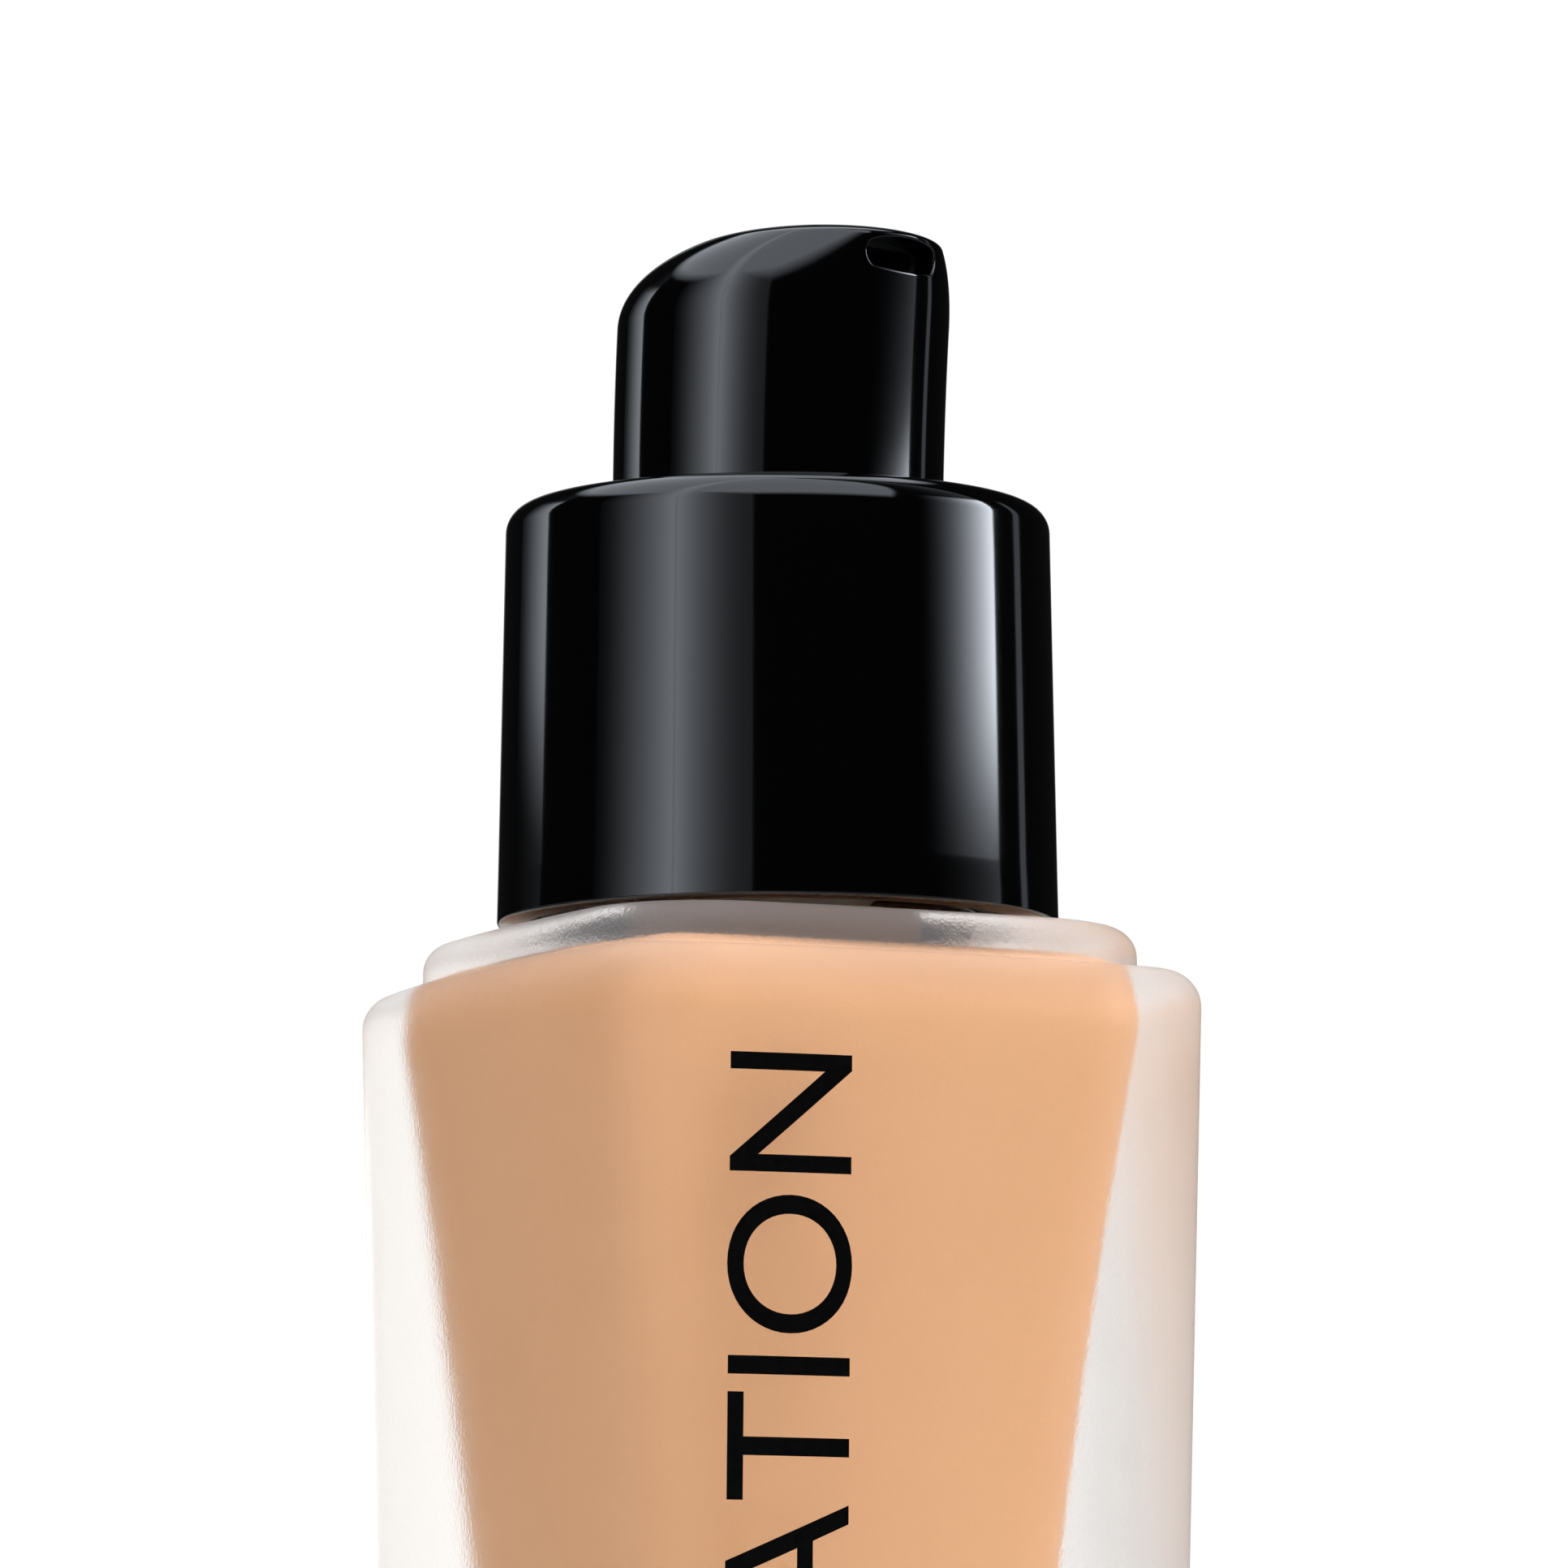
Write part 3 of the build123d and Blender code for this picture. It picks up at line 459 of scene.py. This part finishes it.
grid = np.concatenate([inside, outside])
index = np.arange(grid.shape[0] * AROUND).reshape(-1, AROUND)
quads = grid_quads(index)
open_window = np.ones(quads.shape[:2], bool)
open_window[len(inside) + first:len(inside) + last, steps[:-1] % AROUND] = False
border_index = index[border[:, 0] + len(inside), border[:, 1] % AROUND]
ring_index = np.concatenate([border_index[None],
                             index.size + np.arange(len(rings) * len(border)).reshape(len(rings), -1)])
local = np.concatenate([grid.reshape(-1, 3), np.concatenate(rings)])
spout = np.array([math.sin(SPOUT_TURN), -math.cos(SPOUT_TURN), 0])
beside = np.array([-spout[1], spout[0], 0])
points = local[:, :1] * spout + local[:, 1:2] * beside + local[:, 2:] * np.array([0, 0, 1])
quads = np.concatenate([quads[open_window], grid_quads(ring_index).reshape(-1, 4)])
finish_piece("head", points, quads, black_gloss, "head", "actuator_shell")

# ---------------------------------------------------------------- black pieces inside
# Three black polypropylene mouldings: the ribbed screw cap that clamps the pump on the neck and carries the
# collar, the core that takes the stem inside the head, and the mouthpiece set back in the slot.
black_plastic, tree, shader, place = material("black polypropylene, spark-eroded mould", IOR=1.49)
grain = node(tree, "ShaderNodeTexVoronoi", {"Scale": 4000.0}, Vector=place)
# The mould's grain is 0.25 mm: it gives a dry, even black with a weak broad sheen.
tone = node(tree, "ShaderNodeValToRGB", None, Fac=grain.outputs["Distance"])
tone.color_ramp.elements[0].color = linear("#131313")
tone.color_ramp.elements[1].color = linear("#1d1d1e")
tree.links.new(shader.inputs["Base Color"], tone.outputs["Color"])
dull = node(tree, "ShaderNodeMapRange", {"To Min": 0.42, "To Max": 0.58}, Value=grain.outputs["Distance"])
tree.links.new(shader.inputs["Roughness"], dull.outputs["Result"])
relief = node(tree, "ShaderNodeBump", {"Strength": 0.25, "Distance": 0.00002},
              Height=grain.outputs["Distance"])
tree.links.new(shader.inputs["Normal"], relief.outputs["Normal"])


def coat_node(name, finish):
    """Puts a finish on the CAD node of this name, which keeps its own shape."""
    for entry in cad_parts[name].material_slots:
        entry.material = finish


for name in ("screw_cap", "actuator_core", "nozzle_insert"):
    coat_node(name, black_plastic)

# ---------------------------------------------------------------- pump
# Natural polypropylene mouldings: the housing that hangs in the neck, the guide snapped into it, the cage
# over the inlet valve, the stem with its plug, and the dip tube, an extrusion pushed into its socket.
natural, tree, shader, place = material(
    "natural polypropylene, moulded", IOR=1.49, Subsurface_Weight=0.3, Subsurface_Scale=0.001)
flow = node(tree, "ShaderNodeTexNoise", {"Scale": 220.0, "Detail": 3.0, "Distortion": 1.5}, Vector=place)
# Milky white that lets a little light in. Flow lines a few millimetres long show as a change of sheen.
tone = node(tree, "ShaderNodeValToRGB", None, Fac=flow.outputs["Fac"])
tone.color_ramp.elements[0].color = linear("#dfdfda")
tone.color_ramp.elements[1].color = linear("#ecece8")
tree.links.new(shader.inputs["Base Color"], tone.outputs["Color"])
sheen = node(tree, "ShaderNodeMapRange", {"To Min": 0.28, "To Max": 0.42}, Value=flow.outputs["Fac"])
tree.links.new(shader.inputs["Roughness"], sheen.outputs["Result"])
for name in ("pump_housing", "pump_guide", "ball_cage", "pump_stem", "stem_plug", "dip_tube"):
    coat_node(name, natural)

# ---------------------------------------------------------------- piston
# Soft low-density polyethylene, moulded with two thin lips that wipe the barrel.
soft, tree, shader, place = material("low-density polyethylene, moulded", IOR=1.51, Subsurface_Weight=0.4,
                                     Subsurface_Scale=0.0015)
wax = node(tree, "ShaderNodeTexNoise", {"Scale": 700.0, "Detail": 4.0}, Vector=place)
# Waxy and a little yellower than the rest, with a fine bloom 1 mm across.
tone = node(tree, "ShaderNodeValToRGB", None, Fac=wax.outputs["Fac"])
tone.color_ramp.elements[0].color = linear("#e2dfd3")
tone.color_ramp.elements[1].color = linear("#efede4")
tree.links.new(shader.inputs["Base Color"], tone.outputs["Color"])
sheen = node(tree, "ShaderNodeMapRange", {"To Min": 0.4, "To Max": 0.55}, Value=wax.outputs["Fac"])
tree.links.new(shader.inputs["Roughness"], sheen.outputs["Result"])
coat_node("piston", soft)

# ---------------------------------------------------------------- neck seal
# A washer punched from closed-cell polyethylene foam, squeezed between the neck and the pump's flange.
foam, tree, shader, place = material("closed-cell polyethylene foam, punched", Roughness=0.85)
cells = node(tree, "ShaderNodeTexVoronoi", {"Scale": 3500.0, "feature": "SMOOTH_F1"}, Vector=place)
# Cells of 0.3 mm make it dry and matt, with darker walls between them.
tone = node(tree, "ShaderNodeValToRGB", None, Fac=cells.outputs["Distance"])
tone.color_ramp.elements[0].color = linear("#e0dfd9")
tone.color_ramp.elements[1].color = linear("#c3c2bb")
tree.links.new(shader.inputs["Base Color"], tone.outputs["Color"])
relief = node(tree, "ShaderNodeBump", {"Strength": 0.5, "Distance": 0.00005, "invert": True},
              Height=cells.outputs["Distance"])
tree.links.new(shader.inputs["Normal"], relief.outputs["Normal"])
coat_node("neck_gasket", foam)

# ---------------------------------------------------------------- return spring and inlet ball
# Stainless steel: hard-drawn spring wire with closed ends, and a ground ball on the conical seat.
drawn, tree, shader, place = material("stainless spring wire, drawn", Metallic=1.0, Anisotropic=0.5)
die = node(tree, "ShaderNodeTexNoise", {"Scale": 2500.0, "Detail": 3.0}, Vector=place)
# The die leaves a silky, slightly uneven grey, drawn here as coarse as 0.4 mm so that it shows.
tone = node(tree, "ShaderNodeValToRGB", None, Fac=die.outputs["Fac"])
tone.color_ramp.elements[0].color = linear("#a9a8a5")
tone.color_ramp.elements[1].color = linear("#c9c8c5")
tree.links.new(shader.inputs["Base Color"], tone.outputs["Color"])
silk = node(tree, "ShaderNodeMapRange", {"To Min": 0.2, "To Max": 0.34}, Value=die.outputs["Fac"])
tree.links.new(shader.inputs["Roughness"], silk.outputs["Result"])
coat_node("return_spring", drawn)

ground, tree, shader, place = material("stainless ball, ground and lapped", Base_Color=linear("#cfcfcd"),
                                       Metallic=1.0)
lapping = node(tree, "ShaderNodeTexNoise", {"Scale": 5000.0, "Detail": 2.0}, Vector=place)
# Lapping makes it bright, with the faintest haze.
haze = node(tree, "ShaderNodeMapRange", {"To Min": 0.06, "To Max": 0.12}, Value=lapping.outputs["Fac"])
tree.links.new(shader.inputs["Roughness"], haze.outputs["Result"])
coat_node("inlet_ball", ground)

# ---------------------------------------------------------------- base label
# A die-cut film label stuck in the recess under the base. It is left blank.
film, tree, shader, place = material("white polypropylene label film, coated", Roughness=0.42)
fibre = node(tree, "ShaderNodeTexNoise", {"Scale": 900.0, "Detail": 4.0}, Vector=place)
# Film is even and bright. Its coating mottles the white by a shade, a millimetre across.
tone = node(tree, "ShaderNodeValToRGB", None, Fac=fibre.outputs["Fac"])
tone.color_ramp.elements[0].color = linear("#dcdbd7")
tone.color_ramp.elements[1].color = linear("#ebeae7")
tree.links.new(shader.inputs["Base Color"], tone.outputs["Color"])
coat_node("base_label", film)

# ---------------------------------------------------------------- studio
# A pale floor, white surroundings, and soft light cards that stand round the bottle as a cylinder. The dark
# gaps between the cards are what draws the black pieces.
CAMERA_TURN, CAMERA_TILT, CAMERA_AWAY = math.radians(-26.0), math.radians(-7.2), 0.54
AIM_LEVEL, AIM_RIGHT = 0.0776, 0.0003
LENS, SENSOR = 259.0, 36.0
back = Vector((math.sin(CAMERA_TURN) * math.cos(CAMERA_TILT), -math.cos(CAMERA_TURN) * math.cos(CAMERA_TILT),
               math.sin(CAMERA_TILT)))
right = Vector((math.cos(CAMERA_TURN), math.sin(CAMERA_TURN), 0))
lens = bpy.data.cameras.new("camera")
lens.lens, lens.sensor_width, lens.clip_start = LENS, SENSOR, 0.01
camera = bpy.data.objects.new("camera", lens)
camera.location = Vector((0, 0, AIM_LEVEL)) + right * AIM_RIGHT + back * CAMERA_AWAY
camera.rotation_mode = "QUATERNION"
camera.rotation_quaternion = (-back).to_track_quat("-Z", "Y")
bpy.context.scene.collection.objects.link(camera)
bpy.context.scene.camera = camera

FLOOR_HALF, FLOOR_GLOW = 5.0, 0.85
mesh = bpy.data.meshes.new("floor")
mesh.from_pydata([(-FLOOR_HALF, -FLOOR_HALF, 0), (FLOOR_HALF, -FLOOR_HALF, 0), (FLOOR_HALF, FLOOR_HALF, 0),
                  (-FLOOR_HALF, FLOOR_HALF, 0)], [], [(0, 1, 2, 3)])
# Matt paper that glows faintly to the eye and through the glass, so that it stays pale far from the cards.
paper, tree, shader, place = material(
    "pale background paper", Base_Color=linear("#6c6c6b"), Roughness=0.8, Emission_Color=linear("#ffffff"))
ray = node(tree, "ShaderNodeLightPath")
seen = node(tree, "ShaderNodeMath", {"operation": "MAXIMUM"})
tree.links.new(seen.inputs[0], ray.outputs["Is Camera Ray"])
tree.links.new(seen.inputs[1], ray.outputs["Is Transmission Ray"])
paleness = node(tree, "ShaderNodeMapRange", {"To Max": FLOOR_GLOW}, Value=seen.outputs[0])
tree.links.new(shader.inputs["Emission Strength"], paleness.outputs["Result"])
mesh.materials.append(paper)
floor = bpy.data.objects.new("floor", mesh)
bpy.context.scene.collection.objects.link(floor)

# Each card: where it starts and ends, in degrees to the right of the camera, its glow there, how fast the
# glow grows from the one to the other, and its lowest and highest level. Two tall ones bend over the set.
CARDS = (
    (-180, -168, 0.2, 0.2, 1.0, 0.0, 0.45),
    (-137, -113, 0.05, 2.7, 2.0, 0.16, 0.45),
    (-80, -43, 0.05, 3.8, 1.9, 0.0, 2.0),
    (-10, -43, 0.3, 3.7, 2.3, 0.0, 2.0),
    (60, 103, 0.0, 14.5, 2.6, 0.16, 0.45),
    (118, 123, 0.5, 0.5, 1.0, 0.0, 0.45),
    (170, 180, 0.2, 0.2, 1.0, 0.0, 0.45))
CARD_FADE, CARD_FOOT, CARD_SPILL = 0.15, 0.015, 0.04
SHELL_RADIUS, SHELL_TOP, SHELL_POWER = 0.6, 1.0, 5.0
# The overhead light hangs lower in front than behind: these are its lowest levels at these degrees.
OVERHEAD_GLOW, OVERHEAD_FADE = 2.4, 0.1
OVERHEAD_DEGREES = -180, -12, 50, 70, 100, 150, 180
OVERHEAD_FROM = 0.75, 0.25, 0.25, 1.02, 1.02, 0.75, 0.75
# The shell that carries them: a cylinder that closes in a round top, radius and level on one superellipse.
degrees = np.linspace(-180, 180, 1441)
level = SHELL_TOP * np.sin(np.linspace(0.002, math.pi / 2, 200))
radius = SHELL_RADIUS * np.maximum(1 - (level / SHELL_TOP) ** SHELL_POWER, 1e-9) ** (1 / SHELL_POWER)
bearing = np.radians(degrees) + CAMERA_TURN
shell = np.stack([radius[:, None] * np.sin(bearing), -radius[:, None] * np.cos(bearing),
                  np.repeat(level[:, None], len(degrees), 1)], -1)
glow = np.zeros(shell.shape[:2])
for start, end, faint, bright, power, bottom, top in CARDS:
    share = (degrees - start) / (end - start)
    across = np.where((share > 0) & (share < 1), faint + (bright - faint) * np.clip(share, 0, 1) ** power, 0)
    upright = np.minimum((top - level) / (CARD_FADE * top), (level - bottom) / CARD_FOOT)
    glow += across * np.clip(upright, CARD_SPILL, 1)[:, None]
above = (level[:, None] - np.interp(degrees, OVERHEAD_DEGREES, OVERHEAD_FROM)) / OVERHEAD_FADE
glow = np.maximum(glow, OVERHEAD_GLOW * np.clip(above, 0, 1))
index = np.arange(glow.size).reshape(glow.shape)
mesh = bpy.data.meshes.new("light_cards")
mesh.from_pydata(shell.reshape(-1, 3).tolist(), [], np.stack(
    [index[:-1, :-1], index[:-1, 1:], index[1:, 1:], index[1:, :-1]], -1).reshape(-1, 4).tolist())
mesh.attributes.new("glow", "FLOAT", "POINT").data.foreach_set("value", glow.ravel().astype(np.float32))
card_light, tree, shader, place = material("soft light cards")
tree.nodes.remove(shader)
strength = node(tree, "ShaderNodeAttribute", {"attribute_name": "glow"})
shine = node(tree, "ShaderNodeEmission", {"Color": linear("#edf4ff")}, Strength=strength.outputs["Fac"])
see_through = node(tree, "ShaderNodeBsdfTransparent")
both = node(tree, "ShaderNodeAddShader")
tree.links.new(both.inputs[0], shine.outputs[0])
tree.links.new(both.inputs[1], see_through.outputs[0])
tree.links.new(tree.nodes["Material Output"].inputs["Surface"], both.outputs[0])
mesh.materials.append(card_light)
cards = bpy.data.objects.new("light_cards", mesh)
cards.visible_camera = False
bpy.context.scene.collection.objects.link(cards)

# The surroundings are white to the eye, and dark to everything that mirrors them. Through the glass they are
# white behind the bottle, and elsewhere brighten from left to right, as the light of a large window does.
LEFT_LIGHT, RIGHT_LIGHT, BACKDROP, DIM = 0.0, 2.5, 1.02, 0.01
BEHIND_FROM, BEHIND_FULL = 0.55, 0.95
world = bpy.data.worlds.new("white surroundings")
bpy.context.scene.world = world
world.use_nodes = True
tree = world.node_tree
tree.nodes.clear()
ray = node(tree, "ShaderNodeLightPath")
direction = node(tree, "ShaderNodeTexCoord").outputs["Generated"]
rightwards = node(tree, "ShaderNodeVectorMath", {"operation": "DOT_PRODUCT"}, Vector=direction)
rightwards.inputs[1].default_value = (*right[:2], 0.0)
side_light = node(tree, "ShaderNodeMapRange", {"From Min": -1.0, "To Min": LEFT_LIGHT, "To Max": RIGHT_LIGHT},
                  Value=rightwards.outputs["Value"])
away_from_eye = node(tree, "ShaderNodeVectorMath", {"operation": "DOT_PRODUCT"}, Vector=direction)
away_from_eye.inputs[1].default_value = (-back[0], -back[1], 0.0)
behind = node(tree, "ShaderNodeMapRange", {"From Min": BEHIND_FROM, "From Max": BEHIND_FULL},
              Value=away_from_eye.outputs["Value"])
backdrop = node(tree, "ShaderNodeMix", {"data_type": "FLOAT"})
tree.links.new(backdrop.inputs[0], behind.outputs["Result"])
tree.links.new(backdrop.inputs[2], side_light.outputs["Result"])
backdrop.inputs[3].default_value = BACKDROP
through = node(tree, "ShaderNodeMath", {"operation": "MULTIPLY"})
tree.links.new(through.inputs[0], ray.outputs["Is Transmission Ray"])
tree.links.new(through.inputs[1], backdrop.outputs[0])
seen = node(tree, "ShaderNodeMath", {"operation": "MAXIMUM"})
tree.links.new(seen.inputs[0], ray.outputs["Is Camera Ray"])
tree.links.new(seen.inputs[1], through.outputs[0])
dim = node(tree, "ShaderNodeBackground", {"Color": (1, 1, 1, 1), "Strength": DIM})
white = node(tree, "ShaderNodeBackground", {"Color": (1, 1, 1, 1), "Strength": 1.0})
tree.links.new(white.inputs["Strength"], seen.outputs[0])
both = node(tree, "ShaderNodeAddShader")
tree.links.new(both.inputs[0], dim.outputs[0])
tree.links.new(both.inputs[1], white.outputs[0])
node(tree, "ShaderNodeOutputWorld", None, Surface=both.outputs[0])
bpy.context.scene.view_settings.view_transform = "Standard"
